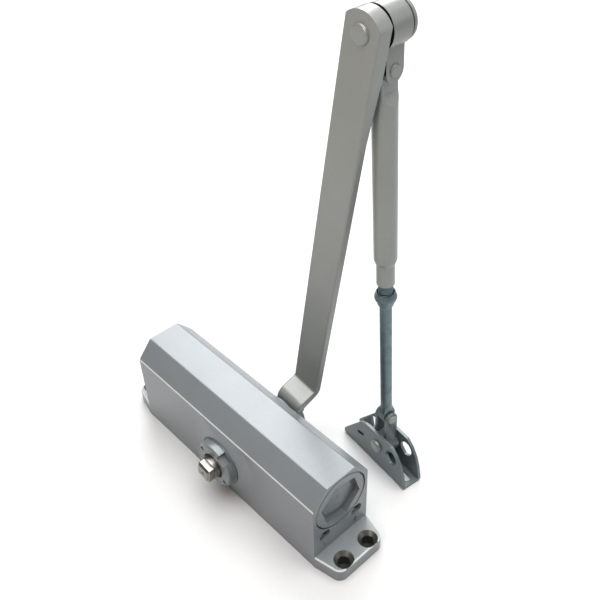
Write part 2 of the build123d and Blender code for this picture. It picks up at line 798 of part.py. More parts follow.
def knuckle(
    frame: Plane,
    down: int,
    barrel: float,
    span: tuple[float, float],
    pitch: float,
    bore: float,
    ear: float,
    outer: float,
) -> Part:
    """A barrel with two ears that reach `down` along the frame's Z and hold a rivet there."""
    with BuildPart() as link:
        with BuildSketch(along(frame)):
            with Locations((0, down * pitch)):
                Circle(ear)
            with Locations((0, down * pitch / 2)):
                Rectangle(2 * ear, pitch)
        extrude(amount=outer, both=True)
        with BuildSketch(along(frame)):
            with Locations((0, down * pitch)):
                Rectangle(4 * ear, 2 * (pitch - barrel - ear_root))
        extrude(amount=ear_inner, both=True, mode=Mode.SUBTRACT)
        for radius, mode in ((barrel, Mode.ADD), (bore, Mode.SUBTRACT)):
            with BuildSketch(across(frame, span[1])):
                Circle(radius)
            extrude(amount=span[1] - span[0], mode=mode)
        with BuildSketch(along(frame)):
            with Locations((0, down * pitch)):
                Circle(rivet_radius)
        extrude(amount=outer, both=True, mode=Mode.SUBTRACT)
    return link.part


def rivet(frame: Plane, drop_along_z: float, outer: float) -> Part:
    """A headed rivet along the frame's X, through both ears."""
    start = along(frame, -outer - rivet_head_rise)
    with BuildPart() as piece:
        with BuildSketch(start):
            with Locations((0, drop_along_z)):
                Circle(rivet_head_radius)
        extrude(amount=rivet_head_rise)
        with BuildSketch(start):
            with Locations((0, drop_along_z)):
                Circle(rivet_radius)
        extrude(amount=2 * (outer + rivet_head_rise))
        with BuildSketch(along(frame, outer)):
            with Locations((0, drop_along_z)):
                Circle(rivet_head_radius)
        extrude(amount=rivet_head_rise)
        heads = piece.edges().filter_by(GeomType.CIRCLE).sort_by(Axis(frame.origin, frame.x_dir))
        fillet([heads[0], heads[-1]], 0.7)
    return piece.part


elbow_bore = elbow_pin_radius + running_clearance
save(
    "elbow_link",
    knuckle(
        ELBOW_LINK,
        -1,
        barrel_radius,
        (-ear_half_width, barrel_length - ear_half_width),
        link_pitch,
        elbow_bore,
        ear_half_width,
        ear_outer,
    ),
)
save("elbow_link_rivet", rivet(ELBOW_LINK, -link_pitch, ear_outer))

# ================================================================ forearm tube, lock nut and rod
eye_bore = rivet_radius + running_clearance
with BuildPart() as forearm_tube:
    with BuildSketch(FOREARM.offset(-tube_radius)):
        Circle(tube_radius)
    extrude(amount=tube_end + tube_radius)
    with BuildSketch(FOREARM.offset(tube_end)):
        Circle(tube_radius)
    with BuildSketch(FOREARM.offset(swage_start)):
        Circle(swage_radius)
    loft()
    with BuildSketch(FOREARM.offset(swage_start)):
        Circle(swage_radius)
    extrude(amount=swage_end - swage_start)
    # The tube's end is pressed down to a tongue, rounded about the rivet
    with BuildSketch(along(FOREARM, -tube_radius)):
        Circle(tube_radius)
        with Locations((0, swage_end / 2)):
            Rectangle(2 * tube_radius, swage_end)
    extrude(amount=2 * tube_radius, mode=Mode.INTERSECT)
    with BuildSketch(Plane(origin=FOREARM.origin, x_dir=FOREARM.x_dir, z_dir=FOREARM.y_dir * -1)):
        for side in (-1, 1):
            with BuildLine():
                Polyline(
                    (side * tongue_thickness / 2, -tube_radius - 1),
                    (side * tongue_thickness / 2, tongue_end),
                    (side * tube_radius, round_start),
                    (side * (tube_radius + 1), round_start),
                    (side * (tube_radius + 1), -tube_radius - 1),
                    close=True,
                )
            make_face()
    extrude(amount=tube_radius, both=True, mode=Mode.SUBTRACT)
    with BuildSketch(along(FOREARM, -tongue_thickness / 2)):
        Circle(eye_bore)
    extrude(amount=tongue_thickness, mode=Mode.SUBTRACT)
    with BuildSketch(FOREARM.offset(round_start + 3)):
        Circle(tube_bore_radius)
    extrude(amount=tube_end - round_start - 4, mode=Mode.SUBTRACT)
    with BuildSketch(FOREARM.offset(tube_end - 2)):
        Circle(thread_radius + running_clearance)
    extrude(amount=swage_end - tube_end + 3, mode=Mode.SUBTRACT)
save("forearm_tube", forearm_tube.part)

with BuildPart() as lock_nut:
    with BuildSketch(Plane(origin=FOREARM.origin, x_dir=FOREARM.x_dir, z_dir=FOREARM.y_dir * -1)):
        with BuildLine():
            Polyline(
                (thread_radius + running_clearance, lock_nut_start + lock_nut_cup_depth),
                (lock_nut_cup_radius, lock_nut_start + 0.4),
                (lock_nut_cup_radius + 0.3, lock_nut_start),
                (lock_nut_cup_radius + 0.6, lock_nut_start + 0.3),
                (lock_nut_radius, lock_nut_start + lock_nut_cup_depth),
                (lock_nut_radius, lock_nut_start + 4.2),
                (thread_radius + 0.9, lock_nut_end - 1.4),
                (thread_radius + 0.6, lock_nut_end),
                (thread_radius + running_clearance, lock_nut_end),
                close=True,
            )
        make_face()
    revolve(axis=Axis(FOREARM.origin, FOREARM.z_dir))
save("lock_nut", lock_nut.part)

flare_start = forearm_length - rod_flare_length
with BuildPart() as adjusting_rod:
    with BuildSketch(FOREARM.offset(thread_start)):
        Circle(thread_radius)
    extrude(amount=thread_end - thread_start)
    with BuildSketch(FOREARM.offset(thread_end)):
        Circle(shank_radius)
    extrude(amount=flare_start - thread_end)
    with BuildSketch(ROD_END.offset(-rod_flare_length)):
        Circle(shank_radius)
    with BuildSketch(ROD_END.offset(-rod_eye_reach)):
        Rectangle(tongue_thickness, 2 * rod_eye_half_width)
    loft()
    with BuildSketch(along(ROD_END, -tongue_thickness / 2)):
        Circle(rod_eye_half_width)
        with Locations((0, -rod_eye_reach / 2)):
            Rectangle(2 * rod_eye_half_width, rod_eye_reach)
    extrude(amount=tongue_thickness)
    with BuildSketch(along(ROD_END, -tongue_thickness / 2)):
        Circle(eye_bore)
    extrude(amount=tongue_thickness, mode=Mode.SUBTRACT)
save("adjusting_rod", adjusting_rod.part)

# ================================================================ shoe link, pin and bracket
shoe_bore = shoe_pin_radius + running_clearance
save(
    "shoe_link",
    knuckle(
        SHOE_LINK,
        1,
        shoe_barrel_radius,
        (-shoe_barrel_length / 2, shoe_barrel_length / 2),
        shoe_link_pitch,
        shoe_bore,
        shoe_ear_half_width,
        shoe_ear_outer,
    ),
)
save("shoe_link_rivet", rivet(SHOE_LINK, shoe_link_pitch, shoe_ear_outer))

shoe_outer_half = shoe_inner_width / 2 + shoe_sheet
with BuildPart() as shoe_bracket:
    with BuildSketch(across(SHOE, shoe_outer_half)) as wall_outline:
        with BuildLine():
            Polyline(
                (shoe_left, 0),
                (shoe_right, 0),
                (shoe_right, 3.0),
                (shoe_right - 1.6, 11),
                (shoe_right - 4.2, 18),
                (shoe_right - 8.2, 23.8),
                (shoe_top_right, shoe_height),
                (shoe_top_left, shoe_height - 0.1),
                (shoe_top_left - 3.6, shoe_height - 0.8),
                (shoe_top_left - 7.6, shoe_height - 2.6),
                (shoe_left - 0.4, shoe_toe_height),
                close=True,
            )
        make_face()
        upper = wall_outline.vertices().sort_by_distance(Vector(shoe_top_right, shoe_height))[0]
        fillet(upper, shoe_shoulder_radius)
    extrude(amount=2 * shoe_outer_half)
    with BuildSketch(SHOE.offset(shoe_sheet)):
        Rectangle(4 * shoe_right, shoe_inner_width)
    extrude(amount=shoe_height, mode=Mode.SUBTRACT)
    bottom_edges = shoe_bracket.faces().sort_by(Axis.Z)[0].edges()
    fillet(bottom_edges.filter_by(lambda edge: edge.length > 40), 1.6)
    with BuildSketch(across(SHOE, shoe_outer_half)):
        with Locations((window_along, window_height)):
            Ellipse(window_half_run, window_half_rise, rotation=window_turn)
        with Locations((window_along - 4.4, window_height - 4.4)):
            Rectangle(3.4, 9, rotation=45, mode=Mode.SUBTRACT)
        with Locations((0, shoe_pin_height)):
            Circle(shoe_pin_radius)
    extrude(amount=2 * shoe_outer_half, mode=Mode.SUBTRACT)
    # The far wall has a teardrop opening, the near wall only a lanced slot
    with BuildSketch(across(SHOE, shoe_outer_half)):
        with Locations((teardrop_along, teardrop_height)):
            Circle(teardrop_radius)
        with Locations((teardrop_along - teardrop_lean, teardrop_height - teardrop_drop)):
            Circle(teardrop_tip_radius)
        make_hull()
    extrude(amount=2 * shoe_sheet, mode=Mode.SUBTRACT)
    with BuildSketch(across(SHOE, -shoe_outer_half)):
        with Locations((lance_along, lance_height)):
            Rectangle(lance_length, lance_width, rotation=lance_turn)
    extrude(amount=-2 * shoe_sheet, mode=Mode.SUBTRACT)
    with BuildSketch(SHOE):
        with Locations((shoe_right - screw_slot_inset, 0), (shoe_left + screw_slot_inset, 0)):
            SlotOverall(screw_slot_length, screw_slot_width)
    extrude(amount=shoe_sheet, mode=Mode.SUBTRACT)
save("shoe_bracket", shoe_bracket.part)

SHOE_PIN = Plane(origin=shoe_pin_centre, x_dir=shoe_along, z_dir=shoe_cross)
with BuildPart() as shoe_pin:
    with BuildSketch(SHOE_PIN.offset(-shoe_outer_half - shoe_head_rise)):
        Circle(shoe_head_radius)
    extrude(amount=shoe_head_rise)
    with BuildSketch(SHOE_PIN.offset(-shoe_outer_half)):
        Circle(shoe_pin_radius)
    extrude(amount=2 * shoe_outer_half)
    with BuildSketch(SHOE_PIN.offset(shoe_outer_half)):
        Circle(shoe_head_radius)
    extrude(amount=1.2)
    rims = shoe_pin.edges().filter_by(GeomType.CIRCLE).sort_by(Axis(shoe_pin_centre, shoe_cross))
    fillet(rims[0], 1.6)
    chamfer(rims[-1], 0.5)
save("shoe_pin", shoe_pin.part)
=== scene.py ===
"""Surface-mounted door closer: finishes, small turned and cast details, studio and camera.

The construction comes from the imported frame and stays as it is. This script dresses every
piece, adds the details that are too fine for the construction, and sets the floor, the lights
and the camera.
"""

from __future__ import annotations

import json
import logging
import math
from collections.abc import Iterable, Sequence
from dataclasses import dataclass, field
from enum import Enum

import bmesh
import bpy
from mathutils import Matrix, Vector


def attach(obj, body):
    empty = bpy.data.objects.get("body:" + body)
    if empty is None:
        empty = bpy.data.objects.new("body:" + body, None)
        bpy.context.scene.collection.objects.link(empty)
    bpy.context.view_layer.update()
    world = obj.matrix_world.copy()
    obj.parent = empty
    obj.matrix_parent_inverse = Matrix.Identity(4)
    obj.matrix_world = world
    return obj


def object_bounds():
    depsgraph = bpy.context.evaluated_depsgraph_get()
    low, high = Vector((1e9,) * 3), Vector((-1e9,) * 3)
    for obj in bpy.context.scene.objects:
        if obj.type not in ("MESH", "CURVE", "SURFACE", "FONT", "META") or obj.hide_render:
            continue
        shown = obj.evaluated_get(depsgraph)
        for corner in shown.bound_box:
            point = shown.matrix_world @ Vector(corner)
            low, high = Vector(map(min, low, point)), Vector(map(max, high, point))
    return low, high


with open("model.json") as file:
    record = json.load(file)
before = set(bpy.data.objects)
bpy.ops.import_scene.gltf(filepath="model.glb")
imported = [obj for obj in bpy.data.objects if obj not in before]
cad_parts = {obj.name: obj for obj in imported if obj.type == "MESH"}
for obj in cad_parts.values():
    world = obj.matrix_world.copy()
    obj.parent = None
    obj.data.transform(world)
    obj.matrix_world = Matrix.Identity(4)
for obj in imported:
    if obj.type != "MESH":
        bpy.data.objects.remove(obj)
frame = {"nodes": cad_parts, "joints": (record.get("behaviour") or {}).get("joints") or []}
CAD_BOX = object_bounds()

LOG = logging.getLogger("door_closer")
MM = 0.001
FULL_TURN = 2 * math.pi
FLOOR_GAP_MM = 0.02  # between the mounting face and the floor
SHADE_CARD_GAP_MM = 0.01  # between the mounting face and the dark card on the floor, which paints shade into the fixing holes


# ------------------------------------------------------------------ small helpers
def linear(code: str) -> tuple[float, float, float, float]:
    """Turn an sRGB hex colour to scene-linear values.

    Args:
        code: The colour, such as "#C0C8C8".

    Returns:
        Red, green and blue, linear, and an alpha of 1.
    """
    channels = []
    for start in (1, 3, 5):
        value = int(code[start : start + 2], 16) / 255
        channels.append(value / 12.92 if value <= 0.04045 else ((value + 0.055) / 1.055) ** 2.4)
    return (channels[0], channels[1], channels[2], 1.0)


def add_node(
    tree: bpy.types.NodeTree,
    kind: str,
    settings: dict[str, object] | None = None,
    inputs: dict[str | int, object] | None = None,
) -> bpy.types.Node:
    """Add one shader node with its settings, constants and links.

    Args:
        tree: The node tree that takes the node.
        kind: The node's type name.
        settings: Properties of the node itself.
        inputs: Socket name or number to a constant, or to the output socket that feeds it.

    Returns:
        The new node.
    """
    made = tree.nodes.new(kind)
    for name, value in (settings or {}).items():
        setattr(made, name, value)
    for key, value in (inputs or {}).items():
        socket = made.inputs[key]
        if isinstance(value, bpy.types.NodeSocket):
            tree.links.new(value, socket)
        else:
            socket.default_value = value
    return made


def per_metre(pitch_mm: float) -> float:
    """The texture scale that repeats a pattern every pitch_mm."""
    return 1.0 / (pitch_mm * MM)


def joint(name: str) -> dict:
    """The frame's joint of that name."""
    return next(entry for entry in frame["joints"] if entry["name"] == name)


def pivot(name: str) -> Vector:
    """A point on that joint's axis, in metres."""
    return Vector(joint(name)["pos_m"])


def axis_of(name: str) -> Vector:
    """The direction of that joint's axis."""
    return Vector(joint(name)["axis"]).normalized()


def basis(origin: Vector, normal: Vector, across: Vector) -> Matrix:
    """A frame whose Z is normal and whose X is as near across as it can be.

    Args:
        origin: The frame's origin.
        normal: The direction of its Z.
        across: The rough direction of its X.

    Returns:
        The frame as a 4 x 4 matrix.
    """
    z_dir = normal.normalized()
    x_dir = (across - z_dir * across.dot(z_dir)).normalized()
    y_dir = z_dir.cross(x_dir)
    turned = Matrix((x_dir, y_dir, z_dir)).transposed().to_4x4()
    return Matrix.Translation(origin) @ turned


# ------------------------------------------------------------------ finishes
class Slot(Enum):
    """The names of three of the record's material slots."""

    CASTING = "painted_casting"
    PAINT = "silver_paint"
    ZINC = "zinc_steel"


def new_material(name: str) -> tuple[bpy.types.Material, bpy.types.NodeTree]:
    """An empty node material and its tree."""
    material = bpy.data.materials.new(name)
    material.use_nodes = True
    tree = material.node_tree
    tree.nodes.clear()
    return material, tree


@dataclass(frozen=True)
class SprayedAluminiumLacquer:
    """Stoved lacquer full of aluminium flake, sprayed on steel or on a die casting.

    To the eye it is a satin silver with a very fine sparkle, a slight orange peel, and a
    reflection that is broad and soft, because each flake lies at a small angle of its own.
    """

    name: str
    colour: str
    shade: str
    flake_mm: float = 0.35  # true flakes are 0.02 mm; drawn coarse enough to show
    peel_mm: float = 1.6
    peel_height_mm: float = 0.006
    cloud_mm: float = 28.0
    metallic: float = 0.3
    roughness: float = 0.38
    coat: float = 0.25
    coat_roughness: float = 0.18

    def build(self) -> bpy.types.Material:
        """Build the material from its flake, peel and slow colour drift."""
        material, tree = new_material(self.name)
        place = add_node(tree, "ShaderNodeTexCoord").outputs["Object"]
        flake = add_node(
            tree,
            "ShaderNodeTexVoronoi",
            {"feature": "F1"},
            {"Vector": place, "Scale": per_metre(self.flake_mm)},
        )
        cloud = add_node(
            tree,
            "ShaderNodeTexNoise",
            None,
            {"Vector": place, "Scale": per_metre(self.cloud_mm), "Detail": 4.0},
        )
        sparkle = add_node(
            tree,
            "ShaderNodeMapRange",
            None,
            {
                "Value": flake.outputs["Color"],
                "From Min": 0.0,
                "From Max": 1.0,
                "To Min": 0.30,
                "To Max": 0.70,
            },
        )
        drift = add_node(
            tree,
            "ShaderNodeMath",
            {"operation": "MULTIPLY_ADD"},
            {0: cloud.outputs["Fac"], 1: 0.5, 2: -0.25},
        )
        blend = add_node(
            tree,
            "ShaderNodeMath",
            {"operation": "ADD", "use_clamp": True},
            {0: sparkle.outputs["Result"], 1: drift.outputs["Value"]},
        )
        colour = add_node(
            tree,
            "ShaderNodeMix",
            {"data_type": "RGBA"},
            {
                "Factor": blend.outputs["Value"],
                "A": linear(self.shade),
                "B": linear(self.colour),
            },
        )
        peel = add_node(
            tree,
            "ShaderNodeTexNoise",
            None,
            {"Vector": place, "Scale": per_metre(self.peel_mm), "Detail": 2.0},
        )
        rough = add_node(
            tree,
            "ShaderNodeMapRange",
            None,
            {
                "Value": flake.outputs["Distance"],
                "From Min": 0.0,
                "From Max": 0.8,
                "To Min": self.roughness - 0.05,
                "To Max": self.roughness + 0.07,
            },
        )
        bump = add_node(
            tree,
            "ShaderNodeBump",
            None,
            {
                "Height": peel.outputs["Fac"],
                "Distance": self.peel_height_mm * MM,
                "Strength": 0.8,
            },
        )
        surface = add_node(
            tree,
            "ShaderNodeBsdfPrincipled",
            None,
            {
                "Base Color": colour.outputs["Result"],
                "Metallic": self.metallic,
                "Roughness": rough.outputs["Result"],
                "IOR": 1.5,
                "Normal": bump.outputs["Normal"],
                "Coat Weight": self.coat,
                "Coat Roughness": self.coat_roughness,
            },
        )
        add_node(
            tree, "ShaderNodeOutputMaterial", None, {"Surface": surface.outputs["BSDF"]}
        )
        return material


@dataclass(frozen=True)
class WorkedMetal:
    """Bare or plated metal with the fine marks of how it was made.

    A turned, ground or plated surface mirrors its surroundings in broad soft bands. The
    marks run round or along the piece, and small stains dull the shine here and there.
    """

    name: str
    colour: str
    shade: str
    mark_mm: float = 0.5
    stretch: tuple[float, float, float] = (1.0, 1.0, 1.0)
    mark_height_mm: float = 0.006
    stain_mm: float = 5.0
    roughness: float = 0.32
    metallic: float = 1.0

    def build(self) -> bpy.types.Material:
        """Build the material from its tool marks and stains."""
        material, tree = new_material(self.name)
        place = add_node(tree, "ShaderNodeTexCoord").outputs["Object"]
        drawn = add_node(
            tree, "ShaderNodeMapping", None, {"Vector": place, "Scale": Vector(self.stretch)}
        )
        marks = add_node(
            tree,
            "ShaderNodeTexNoise",
            None,
            {
                "Vector": drawn.outputs["Vector"],
                "Scale": per_metre(self.mark_mm),
                "Detail": 3.0,
            },
        )
        stains = add_node(
            tree,
            "ShaderNodeTexNoise",
            None,
            {"Vector": place, "Scale": per_metre(self.stain_mm), "Detail": 5.0},
        )
        colour = add_node(
            tree,
            "ShaderNodeMix",
            {"data_type": "RGBA"},
            {
                "Factor": stains.outputs["Fac"],
                "A": linear(self.shade),
                "B": linear(self.colour),
            },
        )
        rough = add_node(
            tree,
            "ShaderNodeMapRange",
            None,
            {
                "Value": stains.outputs["Fac"],
                "From Min": 0.3,
                "From Max": 0.7,
                "To Min": self.roughness + 0.10,
                "To Max": self.roughness - 0.05,
            },
        )
        bump = add_node(
            tree,
            "ShaderNodeBump",
            None,
            {
                "Height": marks.outputs["Fac"],
                "Distance": self.mark_height_mm * MM,
                "Strength": 0.7,
            },
        )
        surface = add_node(
            tree,
            "ShaderNodeBsdfPrincipled",
            None,
            {
                "Base Color": colour.outputs["Result"],
                "Metallic": self.metallic,
                "Roughness": rough.outputs["Result"],
                "Normal": bump.outputs["Normal"],
            },
        )
        add_node(
            tree, "ShaderNodeOutputMaterial", None, {"Surface": surface.outputs["BSDF"]}
        )
        return material


@dataclass(frozen=True)
class MouldedNitrileRubber:
    """Black nitrile rubber from a polished mould: dark, matt and slightly oily."""

    name: str = "moulded_nitrile_rubber"
    colour: str = "#17181A"
    grain_mm: float = 0.6
    roughness: float = 0.55

    def build(self) -> bpy.types.Material:
        """Build the material from one fine grain."""
        material, tree = new_material(self.name)
        place = add_node(tree, "ShaderNodeTexCoord").outputs["Object"]
        grain = add_node(
            tree,
            "ShaderNodeTexNoise",
            None,
            {"Vector": place, "Scale": per_metre(self.grain_mm), "Detail": 3.0},
        )
        rough = add_node(
            tree,
            "ShaderNodeMapRange",
            None,
            {
                "Value": grain.outputs["Fac"],
                "To Min": self.roughness - 0.1,
                "To Max": self.roughness + 0.1,
            },
        )
        surface = add_node(
            tree,
            "ShaderNodeBsdfPrincipled",
            None,
            {
                "Base Color": linear(self.colour),
                "Roughness": rough.outputs["Result"],
                "IOR": 1.52,
            },
        )
        add_node(
            tree, "ShaderNodeOutputMaterial", None, {"Surface": surface.outputs["BSDF"]}
        )
        return material


@dataclass(frozen=True)
class MattePaper:
    """Seamless background paper: white, with no shine."""

    name: str = "seamless_background_paper"
    colour: str = "#C2C2C2"
    shade: str = "#BEBEBE"
    fibre_mm: float = 2.0

    def build(self) -> bpy.types.Material:
        """Build the material from faint paper fibres."""
        material, tree = new_material(self.name)
        place = add_node(tree, "ShaderNodeTexCoord").outputs["Object"]
        fibre = add_node(
            tree,
            "ShaderNodeTexNoise",
            None,
            {"Vector": place, "Scale": per_metre(self.fibre_mm), "Detail": 2.0},
        )
        tone = add_node(
            tree,
            "ShaderNodeMix",
            {"data_type": "RGBA"},
            {
                "Factor": fibre.outputs["Fac"],
                "A": linear(self.shade),
                "B": linear(self.colour),
            },
        )
        surface = add_node(
            tree,
            "ShaderNodeBsdfPrincipled",
            None,
            {"Base Color": tone.outputs["Result"], "Roughness": 0.9, "IOR": 1.4},
        )
        add_node(
            tree, "ShaderNodeOutputMaterial", None, {"Surface": surface.outputs["BSDF"]}
        )
        return material


CASTING_LACQUER = SprayedAluminiumLacquer(
    "sprayed_lacquer_on_die_casting", "#7F8487", "#6C7174", peel_height_mm=0.012
)
# A paler, barely metallic copy of the casting's lacquer: it paints a highlight along the casting's edges.
EDGE_HIGHLIGHT_LACQUER = SprayedAluminiumLacquer(
    "painted_highlight_on_casting_edge", "#CDD2CF", "#B4BAB7", peel_height_mm=0.004, metallic=0.1
)
PLUG_LACQUER = SprayedAluminiumLacquer(
    "sprayed_lacquer_on_turned_plug", "#777D7F", "#666C6F", peel_mm=1.0, peel_height_mm=0.006
)
ARM_LACQUER = SprayedAluminiumLacquer(
    "sprayed_lacquer_on_steel_strip", "#878A87", "#737775", peel_mm=2.2, peel_height_mm=0.007
)
TUBE_LACQUER = SprayedAluminiumLacquer(
    "sprayed_lacquer_on_drawn_tube", "#8A8F8D", "#767C7A", peel_mm=1.8, peel_height_mm=0.006
)
# Darker than the arm's lacquer: painted shade on the shoe, which sits low by the floor.
SHADED_SHOE_LACQUER = SprayedAluminiumLacquer(
    "shaded_lacquer_on_folded_sheet", "#626B6E", "#50595C", peel_mm=2.0
)
RIVET_LACQUER = SprayedAluminiumLacquer(
    "sprayed_lacquer_on_riveted_head", "#868A89", "#737877", peel_mm=1.2, roughness=0.33
)
MACHINED_CASTING = WorkedMetal(
    "drilled_and_countersunk_casting", "#85867F", "#5E605D", mark_mm=0.4, roughness=0.40
)
GROUND_STEEL = WorkedMetal(
    "ground_bright_steel", "#A5A19B", "#6E6A67", mark_mm=0.7, stretch=(1.0, 6.0, 1.0), stain_mm=3.0
)
ZINC_PLATE = WorkedMetal(
    "zinc_plated_steel", "#818788", "#5F6667", mark_mm=0.9, roughness=0.36
)
DULL_ZINC_PLATE = WorkedMetal(
    "dulled_zinc_plate_on_rod", "#77878B", "#566468", mark_mm=0.8, roughness=0.42
)
OILED_SPRING_STEEL = WorkedMetal(
    "oil_hardened_spring_steel", "#55585A", "#35383A", roughness=0.42
)
SINTERED_BRONZE = WorkedMetal(
    "oil_soaked_sintered_bronze", "#B98C55", "#86623A", mark_mm=0.3, roughness=0.5
)
TURNED_ALUMINIUM = WorkedMetal(
    "turned_aluminium", "#D6D8DA", "#B3B6B8", mark_mm=0.4, stretch=(8.0, 1.0, 1.0)
)
TURNED_BRASS = WorkedMetal("turned_brass", "#D9C07A", "#A88F4E", mark_mm=0.4)
# Near black: painted shade for the faces in the elbow knuckle's gap.
GAP_SHADE_STEEL = WorkedMetal(
    "painted_shade_in_knuckle_gap", "#2B2927", "#1B1A19", roughness=0.45, metallic=0.6
)
SEAL_RUBBER = MouldedNitrileRubber()

Finish = SprayedAluminiumLacquer | WorkedMetal | MouldedNitrileRubber | MattePaper
MADE: dict[str, bpy.types.Material] = {}


def material_for(finish: Finish) -> bpy.types.Material:
    """The finish's material, made once."""
    if finish.name not in MADE:
        MADE[finish.name] = finish.build()
    return MADE[finish.name]


# ------------------------------------------------------------------ making and dressing pieces
def dress(piece: bpy.types.Object, finish: Finish) -> None:
    """Give the piece one finish all over."""
    piece.data.materials.clear()
    piece.data.materials.append(material_for(finish))


def soften(piece: bpy.types.Object, radius_mm: float, angle_deg: float = 28.0) -> None:
    """Round a piece's crisp edges, or with no radius keep them crisp, and shade it smoothly.

    Args:
        piece: The object whose edges are rounded.
        radius_mm: The width of the rounding.
        angle_deg: Edges that turn less than this stay as they are.
    """
    weld = piece.modifiers.new("weld", "WELD")
    weld.merge_threshold = 1e-6
    for polygon in piece.data.polygons:
        polygon.use_smooth = True
    if radius_mm == 0:
        crisp = piece.modifiers.new("crisp_edges", "EDGE_SPLIT")
        crisp.split_angle = math.radians(angle_deg)
        return
    bevel = piece.modifiers.new("soft_edges", "BEVEL")
    bevel.width = radius_mm * MM
    bevel.segments = 3
    bevel.limit_method = "ANGLE"
    bevel.angle_limit = math.radians(angle_deg)
    bevel.use_clamp_overlap = True
    split = piece.modifiers.new("face_normals", "WEIGHTED_NORMAL")
    split.keep_sharp = True
    split.weight = 60


def new_piece(
    name: str,
    mesh: bmesh.types.BMesh,
    placed: Matrix,
    body: str,
    finish: Finish,
) -> bpy.types.Object:
    """Turn built mesh data into a piece that rides on a body.

    Args:
        name: The piece's name.
        mesh: The finished mesh, in its own frame. It is freed.
        placed: Where that frame stands.
        body: The body that carries the piece.
        finish: Its finish.

    Returns:
        The new object.
    """
    mesh.transform(placed)
    bmesh.ops.recalc_face_normals(mesh, faces=mesh.faces)
    data = bpy.data.meshes.new(name)
    mesh.to_mesh(data)
    mesh.free()
    for polygon in data.polygons:
        polygon.use_smooth = True
    piece = bpy.data.objects.new(name, data)
    bpy.context.scene.collection.objects.link(piece)
    dress(piece, finish)
    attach(piece, body)
    LOG.info("piece %s rides on %s", name, body)
    return piece


def lathe(profile: Sequence[tuple[float, float]], sides: int = 64) -> bmesh.types.BMesh:
    """Turn a closed outline round Z.

    Args:
        profile: Radius and height of each corner of the outline, in metres.
        sides: How many steps make the full turn.

    Returns:
        The turned solid.
    """
    mesh = bmesh.new()
    rings = []
    for step in range(sides):
        angle = FULL_TURN * step / sides
        rings.append(
            [
                mesh.verts.new((radius * math.cos(angle), radius * math.sin(angle), height))
                for radius, height in profile
            ]
        )
    for step in range(sides):
        here, there = rings[step], rings[(step + 1) % sides]
        for corner in range(len(profile)):
            after = (corner + 1) % len(profile)
            mesh.faces.new((here[corner], there[corner], there[after], here[after]))
    return mesh


def ribbed_disc(inner: float, outer: float, pitch: float, rise: float) -> bmesh.types.BMesh:
    """A thin disc whose front carries the rings that a turning tool leaves.

    Args:
        inner: The radius where the rings begin, in metres.
        outer: The radius where they end.
        pitch: The distance from ring to ring.
        rise: How far each ring stands up.

    Returns:
        The disc, with its back on the plane z = 0.
    """
    count = round((outer - inner) / pitch)
    profile = [(inner, 0.0)]
    for ring in range(count):
        start = inner + ring * pitch
        profile += [
            (start, 0.25 * rise),
            (start + 0.35 * pitch, rise),
            (start + 0.65 * pitch, rise),
        ]
    profile += [(inner + count * pitch, 0.25 * rise), (inner + count * pitch, 0.0)]
    return lathe(profile, 72)


def raised_line(
    points: Sequence[tuple[float, float]], width: float, rise: float, draft: float
) -> bmesh.types.BMesh:
    """A raised line with sloping sides, as a die casts it.

    Args:
        points: The corners of its middle line, in metres.
        width: Its width at the foot.
        rise: How far it stands up along Z.
        draft: How much each side leans in over that rise.

    Returns:
        The closed line.
    """
    middle = [Vector(point) for point in points]
    mesh = bmesh.new()
    rings = []
    for index, here in enumerate(middle):
        before = (here - middle[index - 1]).normalized() if index else None
        after = (middle[index + 1] - here).normalized() if index + 1 < len(middle) else None
        run = ((before or after) + (after or before)).normalized()
        side = Vector((-run.y, run.x))
        onward = after or before
        square = abs(side.dot(Vector((-onward.y, onward.x))))
        half = width / 2 / max(0.5, square)  # wider at a corner, so that the line keeps its width
        corners = ((half, 0.0), (half - draft, rise), (draft - half, rise), (-half, 0.0))
        ring = []
        for reach, height in corners:
            place = here + side * reach
            ring.append(mesh.verts.new((place.x, place.y, height)))
        rings.append(ring)
    for here, there in zip(rings, rings[1:]):
        for corner in range(4):
            after_corner = (corner + 1) % 4
            mesh.faces.new((here[corner], there[corner], there[after_corner], here[after_corner]))
    mesh.faces.new(rings[0])
    mesh.faces.new(reversed(rings[-1]))
    return mesh


def helical_ridge(
    radius: float, rise: float, pitch: float, start: float, stop: float, sides: int = 40
) -> bmesh.types.BMesh:
    """The crest of a screw thread, wound round Z.

    Args:
        radius: The radius it stands on, in metres.
        rise: The crest's height.
        pitch: The advance of one turn.
        start: Where along Z it begins.
        stop: Where it ends.
        sides: How many steps make a turn.

    Returns:
        The wound ridge.
    """
    mesh = bmesh.new()
    steps = round((stop - start) / pitch * sides)
    rings = []
    for step in range(steps + 1):
        angle = FULL_TURN * step / sides
        height = start + pitch * step / sides
        fade = min(1.0, step / sides * 2, (steps - step) / sides * 2)
        root, tip = -0.1 * rise, rise * fade
        ring = []
        for reach, shift in ((root, -0.40), (tip, -0.08), (tip, 0.08), (root, 0.40)):
            reached = radius + reach
            ring.append(
                mesh.verts.new(
                    (reached * math.cos(angle), reached * math.sin(angle), height + shift * pitch)
                )
            )
        rings.append(ring)
    for here, there in zip(rings, rings[1:]):
        for corner in range(4):
            after = (corner + 1) % 4
            mesh.faces.new((here[corner], there[corner], there[after], here[after]))
    mesh.faces.new(rings[0])
    mesh.faces.new(reversed(rings[-1]))
    return mesh


